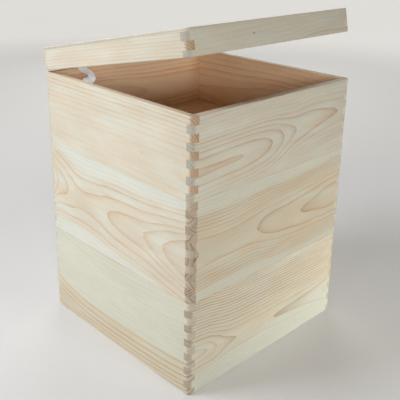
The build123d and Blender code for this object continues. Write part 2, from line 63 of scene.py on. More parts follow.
# Each board was cut from a log of its own. "pith" gives the height of the log's middle along the
# board, and "depth" how far that middle is behind the board's outer face (below nought, in front of
# it). "rings" gives the radius of the dark end of each growth ring and how strong it is. "sap" is how
# white the wood is over the radius, "pale" the same over the height, and "grain" how clearly the
# rings show over the height. "climb" is how steeply the last two rise along the board, and "wave"
# how far the rings sway. "end" holds the pale and the dark colour of the end grain, "soak" how much
# of it shows along the board, and "stain" where the face beside the corner is as dark as the end
# grain. "latewood" stands in for the rings' usual colour, and "tint" colours the whole board. "light"
# is painted light and shade that makes the board lighter or darker along its length: it darkens the
# front boards, and the left ones towards the front corner, and lightens the bottom front board towards
# the right, as the light falls on them. Lengths are in mm from the board's end and from the ground.
# What a board doesn't say is as in PLAIN_BOARD.
PLAIN_BOARD = {
    "climb": 0.0,
    "wave": 1.0,
    "end": ("BFAF97", "9C866B"),
    "tint": "FFFFFF",
    "light": [(0, 1), (300, 1)],
}
BOARDS = {
    "top_front": {
        "pith": [(12, 299.5), (49, 301.5), (88, 303.5), (139, 307.5), (162, 311), (187, 316),
                 (213, 321), (235, 323.5), (278, 325), (300, 325.5)],
        "depth": [(12, 18.4), (49, 18.7), (74, 18.8), (88, 19.1), (111, 20.8), (139, 24.9), (162, 30.8),
                  (187, 35.2), (213, 36.7), (235, 38), (278, 39.8), (300, 40.4)],
        "rings": [(8, 0.4), (12, 0.5), (15.5, 0.5), (19.1, 0.8), (24.9, 1), (30.8, 0.9), (35.2, 0.8),
                  (39.8, 1), (43.8, 0.5), (48, 0.3), (52, 0.3), (56.5, 0.35), (61, 0.3), (65, 0.8),
                  (69, 0.2), (74, 0.2), (79, 0.2), (85, 0.2), (91, 0.2), (97, 0.2), (103, 0.2)],
        "sap": [(8, 0), (70, 0), (90, 0.2)],
        "pale": [(266, 0.1), (300, 0), (398, 0.2)],
        "grain": [(265, 0.35), (282, 0.65), (292, 0.86), (398, 0.86)],
        "latewood": "BC9060",
        # Its pale end grain is bluer than the other boards': a painted reflection of the pale room on the
        # fingers at the corner.
        "end": ("BDB6A6", "A0937F"),
        "light": [(0, 0.86), (150, 0.84), (300, 0.81)],
    },
    "top_left": {
        "pith": [(0, 300), (150, 299), (300, 297)],
        "depth": [(0, -76.9), (150, -76.4), (300, -76.1)],
        "rings": [(76.9, 0.1), (77.8, 0.25), (79.6, 0.3), (82.6, 0.4), (85.8, 0.5), (88.7, 0.7),
                  (91.6, 0.45), (95, 1), (98.4, 0.9), (101.7, 0.8), (105, 0.5), (108, 0.6), (111, 0.45),
                  (114, 0.6), (117, 0.5), (120, 0.6), (123.5, 0.5), (127, 0.5)],
        "sap": [(76, 0), (127, 0)],
        "pale": [(265, 0), (398, 0)],
        "grain": [(265, 0.65), (340, 0.75), (398, 0.75)],
        "end": ("C6A887", "66401F"),
        "light": [(0, 1), (200, 0.96), (300, 0.87)],
    },
    "top_right": {
        "pith": [(0, 282), (97, 288), (197, 296.6), (284, 300), (300, 300)],
        "depth": [(0, 52), (97, 54.5), (150, 61), (197, 66.6), (284, 70), (300, 70)],
        "rings": [(40, 0.5), (46, 0.5), (51, 0.6), (56, 0.5), (60.5, 0.6), (65.5, 0.7), (71, 1),
                  (77.8, 1), (84, 0.5), (90, 0.6), (97, 0.5), (104, 0.6), (112, 0.5), (120, 0.5)],
        "sap": [(50, 0), (165, 0.1)],
        "pale": [(265, 0), (398, 0)],
        "grain": [(265, 1), (398, 0.8)],
        "soak": [(0, 0.2), (300, 1)],
    },
    "top_back": {
        "pith": [(0, 316), (60, 314.5), (118, 314), (160, 313), (220, 310), (300, 305)],
        "depth": [(0, 47.5), (60, 47), (118, 46.3), (160, 43), (220, 36), (300, 30)],
        "rings": [(14, 0.5), (20, 0.5), (26, 0.6), (31, 0.5), (36, 0.45), (42.7, 1), (46.5, 1),
                  (51, 0.6), (56, 0.7), (61, 0.6), (66, 0.7), (72, 0.5), (78, 0.6), (85, 0.5),
                  (92, 0.5)],
        "sap": [(60, 0), (110, 0.3)],
        "pale": [(265, 0), (398, 0)],
        "grain": [(265, 1), (398, 1)],
        "soak": [(0, 1), (300, 0.2)],
    },
    "middle_front": {
        "pith": [(0, 196), (62, 195.5), (117, 197.5), (161, 195.5), (205, 195), (244, 197),
                 (287, 199.5), (300, 200)],
        "depth": [(0, 44.2), (14, 45.9), (37, 47.1), (62, 47.4), (93, 47), (117, 45.9), (136, 43.9),
                  (161, 42.4), (185, 41.5), (205, 40.1), (244, 38.4), (266, 36.6), (287, 36),
                  (300, 35.2)],
        "rings": [(34, 0.5), (40.1, 0.9), (45.9, 1), (50.6, 0.8), (53, 0.5), (55.4, 0.9), (58.5, 0.9),
                  (61.2, 1.1), (64.3, 1), (67.3, 0.9), (70.4, 0.5), (73.5, 0.3), (77, 0.3), (81, 0.3)],
        "sap": [(34, 0), (65.5, 0), (69, 1), (81, 1)],
        "pale": [(132, 0), (265, 0)],
        "grain": [(132, 0.8), (265, 0.75)],
        "latewood": "BC9060",
        "stain": [(0, 0.85), (7.5, 0.85), (10, 0), (300, 0)],
        "end": ("BFAD94", "6C523A"),
        "tint": "FFFAF2",
        "light": [(0, 0.82), (150, 0.83), (300, 0.87)],
    },
    "middle_left": {
        "pith": [(0, 212), (18, 209.5), (31, 207.5), (55, 202), (77, 198.5), (116, 197), (171, 194.5),
                 (214, 193), (260, 191), (300, 190.5)],
        "depth": [(0, 68), (8, 69.5), (22, 73.7), (31, 74.7), (55, 77.7), (77, 79.7), (116, 78.6),
                  (139, 76.5), (171, 75), (214, 73.6), (249, 70.2), (282, 66.6), (300, 64.3)],
        "rings": [(60, 0.5), (70.2, 0.8), (73.7, 0.7), (76.5, 0.9), (81.2, 0.9), (86.9, 1), (90.3, 0.5),
                  (94, 0.35), (98, 0.3), (102, 0.3), (107, 0.3), (112, 0.3), (118, 0.3)],
        "sap": [(60, 0), (89, 0), (93, 0.9), (118, 1)],
        "pale": [(132, 0), (265, 0)],
        "grain": [(132, 0.7), (265, 0.74)],
        "stain": [(0, 0), (290, 0), (292.5, 0.85), (300, 0.85)],
        "end": ("C0AE95", "6C523A"),
        "light": [(0, 1), (200, 0.96), (300, 0.87)],
    },
    "middle_right": {
        "pith": [(0, 190), (150, 204), (300, 196)],
        "depth": [(0, 62), (90, 70), (190, 78), (300, 69)],
        "rings": [(58, 0.6), (63, 0.7), (67, 0.8), (71, 0.7), (75.5, 0.9), (80, 0.8), (84, 0.7),
                  (89, 0.6), (94, 0.5), (99, 0.4), (105, 0.4), (111, 0.4)],
        "sap": [(60, 0), (92, 0), (96, 0.7), (111, 0.8)],
        "pale": [(132, 0), (265, 0)],
        "grain": [(132, 1), (265, 1)],
        "soak": [(0, 0.2), (300, 1)],
    },
    "middle_back": {
        "pith": [(0, 120), (150, 112), (300, 124)],
        "depth": [(0, 40), (300, 52)],
        "rings": [(45, 0.5), (52, 0.6), (58, 0.7), (65, 0.6), (71, 0.8), (78, 0.7), (84, 0.6),
                  (92, 0.8), (99, 0.6), (107, 0.7), (115, 0.5), (124, 0.6), (133, 0.5), (142, 0.6),
                  (152, 0.5), (163, 0.5)],
        "sap": [(45, 0), (130, 0), (140, 0.6), (163, 0.8)],
        "pale": [(132, 0), (265, 0)],
        "grain": [(132, 1), (265, 1)],
        "soak": [(0, 1), (300, 0.2)],
    },
    "bottom_front": {
        "pith": [(6, 57), (32, 54.5), (49, 52), (85, 49), (161, 46.5), (253, 43), (300, 41)],
        "depth": [(6, 11.8), (32, 14.1), (49, 18.2), (85, 24.5), (105, 24.6), (125, 24.7), (142, 25.1),
                  (161, 24.5), (201, 23.6), (253, 21.4), (277, 18.2), (290, 16.2), (300, 14.7)],
        "rings": [(8, 0.5), (14.1, 0.6), (18.2, 0.6), (24.5, 1), (29.5, 0.7), (34, 0.7), (38.5, 0.9),
                  (42.5, 0.8), (46.5, 1), (51, 0.9), (55, 1), (59, 1), (62.8, 0.9), (66.6, 1),
                  (70.2, 1), (74, 0.9), (77.5, 1), (81, 0.9), (84.5, 0.9), (88, 0.8), (92, 0.7)],
        "sap": [(8, 0), (92, 0)],
        "pale": [(-30, 1), (18, 0.95), (30, 0.3), (42, 0), (132, 0)],
        "grain": [(-30, 0.1), (12, 0.25), (26, 0.55), (55, 0.6), (75, 1.05), (132, 1.15)],
        "latewood": "9C7852",
        "climb": 0.09,
        "wave": 0.5,
        "end": ("BEAF9B", "978471"),
        "tint": "FFFEF9",
        "light": [(0, 0.85), (150, 0.97), (300, 1.15)],
    },
    "bottom_left": {
        "pith": [(0, -40), (20, -50), (50, -57), (100, -62), (200, -60), (300, -48)],
        "depth": [(0, 40), (100, 40), (300, 47)],
        "rings": [(62, 0.5), (68, 0.8), (73, 0.7), (78, 0.7), (83, 0.8), (89.8, 0.9), (97.2, 0.8),
                  (106.5, 0.7), (116, 0.15), (124, 0.12), (131, 0.15), (138, 0.1), (145, 0.14),
                  (152, 0.1), (160, 0.15), (168, 0.1), (176, 0.12), (184, 0.2), (192, 0.2)],
        "sap": [(60, 0), (104, 0), (112, 0.95), (192, 0.85)],
        "pale": [(0, 0), (132, 0)],
        "grain": [(0, 1.15), (132, 1.16)],
        "latewood": "AC7E4E",
        "end": ("CDC0AA", "86664A"),
        "tint": "FEFBF3",
        "light": [(0, 0.98), (200, 0.9), (300, 0.84)],
    },
    "bottom_right": {
        "pith": [(0, 88), (150, 78), (300, 92)],
        "depth": [(0, 66), (120, 60), (220, 68), (300, 62)],
        "rings": [(52, 0.5), (57, 0.6), (61.5, 0.9), (65, 0.7), (69, 0.8), (74, 0.6), (79, 0.8),
                  (85, 0.6), (91, 0.5), (98, 0.4), (105, 0.4)],
        "sap": [(50, 0), (86, 0), (92, 0.7), (105, 0.8)],
        "pale": [(0, 0), (132, 0)],
        "grain": [(0, 1), (132, 1)],
        "soak": [(0, 0.2), (300, 1)],
    },
    "bottom_back": {
        "pith": [(0, 180), (150, 174), (300, 186)],
        "depth": [(0, 45), (300, 38)],
        "rings": [(45, 0.5), (53, 0.6), (60, 0.6), (68, 0.7), (75, 0.6), (83, 0.8), (90, 0.7),
                  (98, 0.6), (107, 0.7), (115, 0.6), (124, 0.5), (133, 0.6), (142, 0.6), (151, 0.5),
                  (161, 0.5), (172, 0.5), (184, 0.5)],
        "sap": [(45, 0), (184, 0.1)],
        "pale": [(0, 0), (132, 0)],
        "grain": [(0, 1), (132, 1)],
        "soak": [(0, 1), (300, 0.2)],
    },
    "ledge": {
        "pith": [(0, 240), (300, 243)],
        "depth": [(0, 18), (300, 16)],
        "rings": [(20, 0.5), (25, 0.6), (29, 0.6), (34, 0.7), (38, 0.6), (43, 0.6), (47, 0.6),
                  (52, 0.5)],
        "sap": [(20, 0), (52, 0)],
        "pale": [(265, 0), (276, 0)],
        "grain": [(265, 1), (276, 1)],
        "end": ("B8A78F", "7A6450"),
    },
}
KNOTS = {  # places along and up a board, radii in mm, and how dark they are
    "top_left": (210.6, 303.9, 1.1, 0.35),
    "top_front": (106.0, 386.0, 1.1, 0.8),
}

# Which way a board lies: the axis and sign that lead along it, and those that lead into the wall.
LIE = {
    "front": (0, 1, 1, 1),
    "back": (0, -1, 1, -1),
    "left": (1, -1, 0, 1),
    "right": (1, 1, 0, -1),
}
MORE_RINGS = 14  # past a board's last ring, so that no part of the wood is left without
MORE_RING_STEP = 6.0
MORE_RING_STRENGTH = 0.3
LATEWOOD = 0.32  # mm over which even the narrowest ring darkens towards its outer edge
WIDER_LATEWOOD = 0.11  # and the share of its width that a ring adds to that
WIDEST_RING = 6.0
INSIDE_LATEWOOD = 0.6  # mm more on the inner faces, which were left unsanded, and on the sawn edges; their lines are blurred
SAWN_BOUNCE_SHARE = 0.74  # how much the sawn edges look like the inner faces, with softer lines and painted warm bounce light; the inner faces are 1
END_CONTRAST = 1.6  # how much stronger the rings are on end grain than on a face
KNOT_EDGE = (1.7, 0.6)  # radii of a knot, between which its dark middle fades out
JOINT_LINE = 0.35  # mm, half of a glue line, which is drawn a little coarser than it is
FINGER_LINE = 0.22  # and half of the line between two fingers
LINE_BLUR = 0.3  # mm over which the finger joints' lines stop at the inner face of the wall
PINE_ROUGHNESS = (0.68, 0.56)  # of earlywood and of latewood, which is harder
PINE_RELIEF = 0.00006  # metres, how far latewood and fibres stand proud after planing

# The blots of each noise: their size along, up and into the board in mm, and their finer detail.
PINE_NOISES = {
    "sway": ((110, 26, 26), 1.0),  # long bends of the rings
    "shiver": ((26, 4, 4), 1.0),  # short bends of the rings
    "fibre": ((34, 0.8, 0.8), 2.0),  # real fibres are 0.03 mm wide, drawn coarser so that they show
    "tone": ((95, 22, 22), 2.0),  # slow changes from light to dark
    "cloud": ((70, 16, 16), 1.0),  # whiter patches
    "fade": ((48, 7, 7), 1.0),  # stretches where the rings show less
    "fleck": ((5, 0.6, 0.6), 0.0),  # resin
}
NOISE_LOW, NOISE_HIGH = 0.25, 0.75  # between which nearly all of a noise lies
RING_SWINGS = {"sway": 0.9, "shiver": 0.35}  # mm between a bend's innermost and outermost place
PLY_NOISES = {
    "sway": ((230, 90, 90), 1.0),  # bends of the peeled veneer's figure
    "fibre": ((40, 0.9, 0.9), 2.0),  # drawn coarser, as on the boards
    "tone": ((120, 45, 45), 2.0),
}
PLY_SWING = 190.0  # mm by which the figure bends
PLY_BAND = 17.0  # mm from one dark band of the figure to the next
PLY_LINE = 0.15  # mm, half of the blur between two plies
PLY_ROUGHNESS = (0.5, 0.64)  # between its fibres and on them
PLY_RELIEF = 0.00004  # metres

# The panels' undersides and tops, mm above the ground, with the lid shut.
LID_PANEL = (395.4, 399.4)
SHELF_PANEL = (275.2, 280.2)
BASE_PANEL = (0.0, 6.0)

# The size of the plating's marks along X, Y and Z in mm: rolling lines, drawn coarser than the real
# 0.05 mm so that they show, and the even grit of a stamped tack.
ROLLED = (6.0, 0.3, 0.3)
STAMPED = (0.5, 0.5, 0.5)
STEEL_PATCHES = 160.0  # duller patches of the plating per metre
STEEL_RELIEF = 0.00002  # metres
SATIN_THREAD = 0.45  # mm from thread to thread, drawn coarser than the real 0.1 so that they show
SATIN_STREAK = 9.0  # mm, the length of a thread's streak
SELVEDGE = (0.44, 0.47)  # widths from the middle, between which the plain woven edge starts
SATIN_ROUGHNESS = (0.38, 0.6)  # of the satin and of its woven edge
SATIN_RELIEF = 0.00006  # metres

RIBBON_MIDDLE = 0.077  # metres, from the middle of the bin to the middle of the ribbon
# The ribbon's middle line from its upper end to its lower one: mm off the left wall and above the rim.
RIBBON_LINE = [
    (0.45, 41.3),
    (0.45, 35.0),
    (0.45, 24.0),
    (1.0, 18.4),
    (3.4, 14.2),
    (7.2, 11.0),
    (11.4, 8.6),
    (15.2, 5.4),
    (17.3, 2.2),
    (17.2, -0.5),
    (15.0, -2.4),
    (11.8, -3.2),
    (9.1, -4.9),
    (8.2, -8.4),
    (8.4, -14.0),
    (8.8, -26.0),
    (8.9, -40.0),
    (8.6, -46.6),
    (6.4, -51.2),
    (3.0, -50.8),
    (1.2, -46.0),
    (0.6, -38.0),
    (0.45, -26.0),
    (0.45, -18.0),
    (0.45, -12.2),
]
# It lies along the slope of the lid's rail at its upper end, and twists a little through the fold.
RIBBON_LEAN = [(24.0, math.tan(OPEN_ANGLE)), (10.0, 0.35), (0.0, -0.05), (-5.0, -0.3), (-14.0, 0.0)]
RIBBON_ROWS = 132
RIBBON_COLUMNS = 8
RIBBON_FLAT = (0.018, 0.1527)  # metres, as it was cut

CAMERA_PLACE = (-0.62369, -0.64561, 0.56697)
SENSOR = 36.0  # mm
FLOOR_RADIUS = 9.0  # metres
ROOM = "F4F3F0"  # colour of the light all round
ROOM_SEEN = 0.9  # how strong the room's light looks, which is more than it lights the bin
MIDDLE = (0.0, 0.0, 0.2)  # what most lamps are aimed at
LOW_RIGHT = (0.08, -0.15, 0.04)  # and the low lamp on the right
# Each lamp's place, aim and size in metres, how wide it shines in degrees, and its colour.
LAMPS = {
    "key": ((-1.15, 0.8, 1.35), MIDDLE, 0.9, 110, "F0F4FF"),
    "side": ((-1.42, -0.5, 0.54), MIDDLE, 0.4, 80, "FFFFFF"),
    "front": ((-0.95, -1.3, 0.6), MIDDLE, 0.25, 80, "FFFFFF"),
    "right": ((0.35, -2.7, 0.8), MIDDLE, 0.36, 60, "FFFFFF"),
    "fill": ((0.62, -0.85, 0.15), LOW_RIGHT, 0.22, 70, "FFFFFF"),
    "back": ((1.25, 1.45, 1.0), MIDDLE, 1.3, 100, "FFFFFF"),
}

# Sockets of a Map Range node, and of a Mix node that mixes colours.
VALUE, FROM, TO, LOW, HIGH = range(5)
SHARE, FIRST, SECOND, MIXED = 0, 6, 7, 2
RGB = {"data_type": "RGBA"}


def linear(code):
    """Red, green and blue of an sRGB hex colour, as linear light."""
    parts = [int(code[i : i + 2], 16) / 255 for i in (0, 2, 4)]
    return [c / 12.92 if c <= 0.04045 else ((c + 0.055) / 1.055) ** 2.4 for c in parts]


def colour(name, code, note):
    """A colour that a user may change."""
    return FloatVectorProperty(
        name=name, description=note, subtype="COLOR", size=3, min=0, max=1, default=linear(code)
    )


def power(name, where, watts):
    """A lamp's power, which a user may change."""
    return FloatProperty(name=name, description=f"Power of the lamp {where}", unit="POWER", default=watts)


class PineLook(PropertyGroup):
    """Colours of the pine boards."""

    earlywood: colour("Earlywood", "DDD2BA", "Pale wood grown in spring")
    latewood: colour("Latewood", "C8985E", "Darker edge of each growth ring")
    sapwood: colour("Sapwood", "DFE0D1", "Whitish outer wood of the log")
    # The inside colours are partly painted light: the inner faces and sawn edges are lighter and warmer
    # than the outside, standing in for the warm light bounced around inside the bin.
    inside: colour("Inside", "F5D6B2", "Pale wood of the unsanded inner faces")
    inside_latewood: colour("Inside latewood", "E0A468", "Growth rings of the unsanded inner faces")
    knot: colour("Pin knot", "8A6E50", "Small dark knot")
    glue: colour("Joint line", "A08667", "Line where two boards are glued together")


class PlyLook(PropertyGroup):
    """Colours of the thin plywood panels."""

    veneer: colour("Veneer", "E0D6C0", "Face of the panel")
    figure: colour("Figure", "C29A6D", "Broad darker figure of the face")
    core: colour("Core", "C3BAA6", "Middle ply, which shows its end grain at the edge")


class MetalLook(PropertyGroup):
    """Colours of the hinges, screws and tacks."""

    zinc: colour("Zinc", "C3C7CB", "Bright zinc plating of hinges and screws")
    nickel: colour("Nickel", "CFC9BE", "Nickel plating of the tacks")


class RibbonLook(PropertyGroup):
    """The satin stay ribbon."""

    satin: colour("Satin", "F7F8FB", "Bleached satin")
    width: FloatProperty(
        name="Width",
        description="Width of the ribbon",
        subtype="DISTANCE",
        unit="LENGTH",
        default=RIBBON_FLAT[0],
    )
    thickness: FloatProperty(
        name="Thickness",
        description="Thickness of the cloth",
        subtype="DISTANCE",
        unit="LENGTH",
        default=0.00035,
    )


class StageLook(PropertyGroup):
    """Floor, lamps and camera."""

    floor: colour("Floor", "CBC9C5", "Plain floor and backdrop")
    key: power("Key lamp", "behind on the left", 10.0)
    side: power("Side lamp", "low on the left", 0.92)
    front: power("Front lamp", "in front on the left", 1.15)
    right: power("Right lamp", "in front on the right", 1.6)
    fill: power("Fill lamp", "low on the right", 0.38)
    back: power("Back lamp", "behind on the right", 6.4)
    world: FloatProperty(name="Room light", description="Strength of the light all round", default=0.1)
    azimuth: FloatProperty(
        name="Azimuth",
        description="Camera's way round the bin",
        subtype="ANGLE",
        default=math.radians(-44.386),
    )
    elevation: FloatProperty(
        name="Elevation",
        description="Camera's height above the level",
        subtype="ANGLE",
        default=math.radians(18.575),
    )
    roll: FloatProperty(
        name="Roll", description="Camera's lean", subtype="ANGLE", default=math.radians(1.135)
    )
    lens: FloatProperty(name="Lens", description="Focal length, mm", default=59.244)
    drop: FloatProperty(name="Drop", description="How far the picture is shifted down", default=-0.13915)


# ----------------------------------------------------------------------------------- material tools
def add(tree, kind, inputs=None, out=0, points=None, handle="AUTO", **settings):
    """Adds a node, gives it its settings, values and links, and returns one of its outputs."""
    node = tree.nodes.new("ShaderNode" + kind)
    for name, value in settings.items():
        setattr(node, name, value)
    if points:
        line = node.mapping.curves[0]
        for place in points[2:]:
            line.points.new(*place)
        for point, place in zip(line.points, sorted(points)):
            point.location = place
            point.handle_type = handle
        node.mapping.update()
    for socket, value in (inputs or {}).items():
        if isinstance(value, bpy.types.NodeSocket):
            tree.links.new(value, node.inputs[socket])
        else:
            node.inputs[socket].default_value = value
    return node.outputs[out]


def graph(tree, x, points, handle="AUTO"):
    """The height over x of a line through a few points, which is smooth, or straight with VECTOR."""
    across, heights = zip(*points)
    left, right = min(across), max(across)
    low, high = min(heights), max(heights)
    if low == high:
        return low
    share = add(tree, "MapRange", {VALUE: x, FROM: left, TO: right})
    places = [((a - left) / (right - left), (h - low) / (high - low)) for a, h in points]
    drawn = add(tree, "FloatCurve", {1: share}, points=places, handle=handle)
    return add(tree, "Math", {0: drawn, 1: high - low, 2: low}, operation="MULTIPLY_ADD")


def blank(name, **finish):
    """A new material with its node tree and its shader, whose constants are set on its own sockets."""
    material = bpy.data.materials.new(name)
    material.use_nodes = True
    shader = material.node_tree.nodes["Principled BSDF"]
    for socket, value in finish.items():
        shader.inputs[socket.replace("_", " ")].default_value = value
    return material, material.node_tree, shader


def wear(node_name, material):
    """Gives a CAD node its finish."""
    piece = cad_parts[node_name]
    for piece_slot in piece.material_slots:
        piece_slot.material = material


def closed_frame(tree, vector, pivot, on_lid):
    """The same vector with the lid turned shut, so that its wood lines up with the ring it was cut from."""
    if not on_lid:
        return vector
    turned = {"Vector": vector, "Center": pivot, "Angle": OPEN_ANGLE}
    return add(tree, "VectorRotate", turned, rotation_type="X_AXIS")


def place_and_facing(tree, on_lid):
    """Where a spot of the wood is and which way its surface faces, with the lid shut."""
    spot = closed_frame(tree, add(tree, "TexCoord", out="Object"), HINGE, on_lid)
    return spot, closed_frame(tree, add(tree, "TexCoord", out="Normal"), (0.0, 0.0, 0.0), on_lid)


def noises(tree, spot, blots):
    """A noise for each use, from the size of its blots and its detail."""
    made = {}
    for use, (size, detail) in blots.items():
        scaled = add(tree, "VectorMath", {0: spot, 1: [1 / s for s in size]}, operation="MULTIPLY")
        made[use] = add(tree, "TexNoise", {"Vector": scaled, "Scale": 1.0, "Detail": detail})
    return made


def dimmed(tree, colour, light):
    """A colour made lighter or darker by a share."""
    grey = add(tree, "CombineXYZ", {0: light, 1: light, 2: light})
    lit = {SHARE: 1.0, FIRST: colour, SECOND: grey}
    return add(tree, "Mix", lit, out=MIXED, blend_type="MULTIPLY", **RGB)


def dress(tree, shader, base, rough, relief, proud):
    """Joins colour, roughness and relief to the shader. proud is how far the relief stands up, in
    metres."""
    tree.links.new(base, shader.inputs["Base Color"])
    tree.links.new(rough, shader.inputs["Roughness"])
    bumped = add(tree, "Bump", {"Strength": 1.0, "Distance": proud, "Height": relief})
    tree.links.new(bumped, shader.inputs["Normal"])


# ------------------------------------------------------------------------------------------- finishes
def lay_board(tree, side, on_lid):
    """A spot's place along, up and into its board in mm, and which way the surface faces there."""
    spot, facing = place_and_facing(tree, on_lid)
    along_axis, along_sign, deep_axis, deep_sign = LIE[side]
    xyz = add(tree, "SeparateXYZ", {0: spot}).node.outputs
    laid = add(tree, "CombineXYZ", {0: xyz[along_axis], 1: xyz[2], 2: xyz[deep_axis]})
    turn = (along_sign / MM, 1 / MM, deep_sign / MM)
    shift = (HALF_SIDE, SAW_STEP if on_lid else 0.0, HALF_SIDE)
    laid = add(tree, "VectorMath", {0: laid, 1: turn, 2: shift}, operation="MULTIPLY_ADD")
    return laid, add(tree, "SeparateXYZ", {0: facing}).node.outputs


def unsanded_and_painted_bounce(tree, facing, side):
    """How much a face looks like the inner faces: 1 on the inside, less on the sawn edges and 0 outside.
    Its lines are softer, as it was left unsanded, and its colour is lighter and warmer with painted bounce
    light."""
    deep_axis, deep_sign = LIE[side][2:]
    inwards = add(tree, "Math", {0: facing[deep_axis], 1: float(deep_sign)}, operation="MULTIPLY")
    # Faces that point up or down, the sawn edges, get a share of the painted bounce light.
    sawn = add(tree, "Math", {0: facing[2]}, operation="ABSOLUTE")
    sawn = add(tree, "Math", {0: sawn, 1: SAWN_BOUNCE_SHARE}, operation="MULTIPLY")
    unsanded_and_bounce_side = add(tree, "Math", {0: inwards, 1: sawn}, operation="MAXIMUM")
    return add(tree, "MapRange", {VALUE: unsanded_and_bounce_side, FROM: 0.6, TO: 0.9})


def log_radius(tree, log, places, textures):
    """How far a spot is from the middle of the log that its board was cut from."""
    along, height, deep = places
    pith = graph(tree, along, log["pith"])
    depth = graph(tree, along, log["depth"])
    up = add(tree, "Math", {0: height, 1: pith}, operation="SUBTRACT")
    into = add(tree, "Math", {0: deep, 1: depth}, operation="SUBTRACT")
    flat = add(tree, "CombineXYZ", {0: up, 1: into})
    radius = add(tree, "VectorMath", {0: flat}, out="Value", operation="LENGTH")
    for use, swing in RING_SWINGS.items():
        swing *= log["wave"]
        radius = add(tree, "Math", {0: textures[use], 1: swing, 2: radius}, operation="MULTIPLY_ADD")
        radius = add(tree, "Math", {0: radius, 1: swing / 2}, operation="SUBTRACT")
    return radius


def growth_rings(tree, log, radius, inside):
    """How dark a spot is with latewood, which thickens slowly outwards in each ring and ends sharply."""
    rings = list(log["rings"])
    last = rings[-1][0]
    for more in range(MORE_RINGS):
        rings.append((last + (more + 1) * MORE_RING_STEP, MORE_RING_STRENGTH))
    ranks = range(1, len(rings) + 1)
    inner = [rings[0][0] - MORE_RING_STEP] + [outer for outer, strength in rings[:-1]]
    rank_at, edges, strengths, widths = [], [], [], []
    for rank, (outer, strength), start in zip(ranks, rings, inner):
        rank_at.append((outer, rank))
        edges.append((rank, outer))
        strengths.append((rank, strength))
        widths.append((rank, LATEWOOD + WIDER_LATEWOOD * min(outer - start, WIDEST_RING)))
    rank = graph(tree, radius, rank_at, "VECTOR")
    rank = add(tree, "Math", {0: rank}, operation="CEIL")
    edge = graph(tree, rank, edges, "VECTOR")
    strength = graph(tree, rank, strengths, "VECTOR")
    width = graph(tree, rank, widths, "VECTOR")
    soft = add(tree, "Math", {0: inside, 1: INSIDE_LATEWOOD, 2: width}, operation="MULTIPLY_ADD")
    short = add(tree, "Math", {0: radius, 1: edge}, operation="SUBTRACT")
    short = add(tree, "Math", {0: short, 1: 0.0}, operation="MINIMUM")
    late = add(tree, "Math", {0: short, 1: soft}, operation="DIVIDE")
    late = add(tree, "Math", {0: late}, operation="EXPONENT")
    return add(tree, "Math", {0: late, 1: strength}, operation="MULTIPLY")


def board_face(tree, log, radius, band, late, inside, textures):
    """Colour of the board's faces: earlywood, whiter sapwood and the lines of latewood."""
    look = bpy.context.scene.bin_pine
    sap = graph(tree, radius, log["sap"], "VECTOR")
    pale = graph(tree, band, log["pale"], "VECTOR")
    white = add(tree, "Math", {0: sap, 1: pale}, operation="MAXIMUM")
    cloud = add(tree, "MapRange", {VALUE: textures["cloud"], FROM: 0.42, TO: 0.7, HIGH: 0.65})
    white = add(tree, "Math", {0: white, 1: cloud}, operation="MAXIMUM")
    face = {SHARE: white, FIRST: (*look.earlywood, 1), SECOND: (*look.sapwood, 1)}
    face = add(tree, "Mix", face, out=MIXED, **RGB)
    # The inside colour is painted warm bounce light on the inner faces and sawn edges.
    face = add(tree, "Mix", {SHARE: inside, FIRST: face, SECOND: (*look.inside, 1)}, out=MIXED, **RGB)
    tinted = {SHARE: 1.0, FIRST: face, SECOND: (*linear(log["tint"]), 1)}
    face = add(tree, "Mix", tinted, out=MIXED, blend_type="MULTIPLY", **RGB)
    latewood = linear(log["latewood"]) if "latewood" in log else look.latewood
    dark = {SHARE: inside, FIRST: (*latewood, 1), SECOND: (*look.inside_latewood, 1)}
    dark = add(tree, "Mix", dark, out=MIXED, **RGB)
    return add(tree, "Mix", {SHARE: late, FIRST: face, SECOND: dark}, out=MIXED, **RGB)


def end_grain(tree, log, along, facing_along, late):
    """Colour of the board's ends, which soak up light and show stronger rings, and where it shows."""
    early_end, late_end = (linear(code) for code in log["end"])
    ring = add(tree, "Math", {0: late, 1: END_CONTRAST}, operation="MULTIPLY", use_clamp=True)
    end = add(tree, "Mix", {SHARE: ring, FIRST: (*early_end, 1), SECOND: (*late_end, 1)}, out=MIXED, **RGB)
    squarely = add(tree, "Math", {0: facing_along}, operation="ABSOLUTE")
    squarely = {VALUE: squarely, FROM: 0.06, TO: 0.66}
    ends = add(tree, "MapRange", squarely, interpolation_type="SMOOTHSTEP")
    if "soak" in log:
        soak = graph(tree, along, log["soak"], "VECTOR")
        ends = add(tree, "Math", {0: ends, 1: soak}, operation="MULTIPLY")
    if "stain" in log:
        stain = graph(tree, along, log["stain"], "VECTOR")
        ends = add(tree, "Math", {0: ends, 1: stain}, operation="MAXIMUM")
    return end, ends


def joint_lines(tree, along, height):
    """Where the glued joints are: one at each ring of boards, and one at each finger of the corners."""
    near_ring = add(tree, "Math", {0: height, 1: RING}, operation="MODULO")
    near_ring = add(tree, "Math", {0: near_ring, 1: RING / 2}, operation="SUBTRACT")
    near_ring = add(tree, "Math", {0: near_ring}, operation="ABSOLUTE")
    ring_line = add(tree, "MapRange", {VALUE: near_ring, FROM: RING / 2 - JOINT_LINE, TO: RING / 2})
    near_finger = add(tree, "Math", {0: height, 1: FINGER / 2}, operation="PINGPONG")
    finger_line = add(tree, "MapRange", {VALUE: near_finger, FROM: FINGER_LINE, TO: 0.0})
    from_middle = add(tree, "Math", {0: along, 1: HALF_SIDE}, operation="SUBTRACT")
    from_middle = add(tree, "Math", {0: from_middle}, operation="ABSOLUTE")
    inner_face = HALF_SIDE - WALL
    at_end = add(tree, "MapRange", {VALUE: from_middle, FROM: inner_face - LINE_BLUR, TO: inner_face})
    finger_line = add(tree, "Math", {0: finger_line, 1: at_end}, operation="MULTIPLY")
    return add(tree, "Math", {0: ring_line, 1: finger_line}, operation="MAXIMUM")


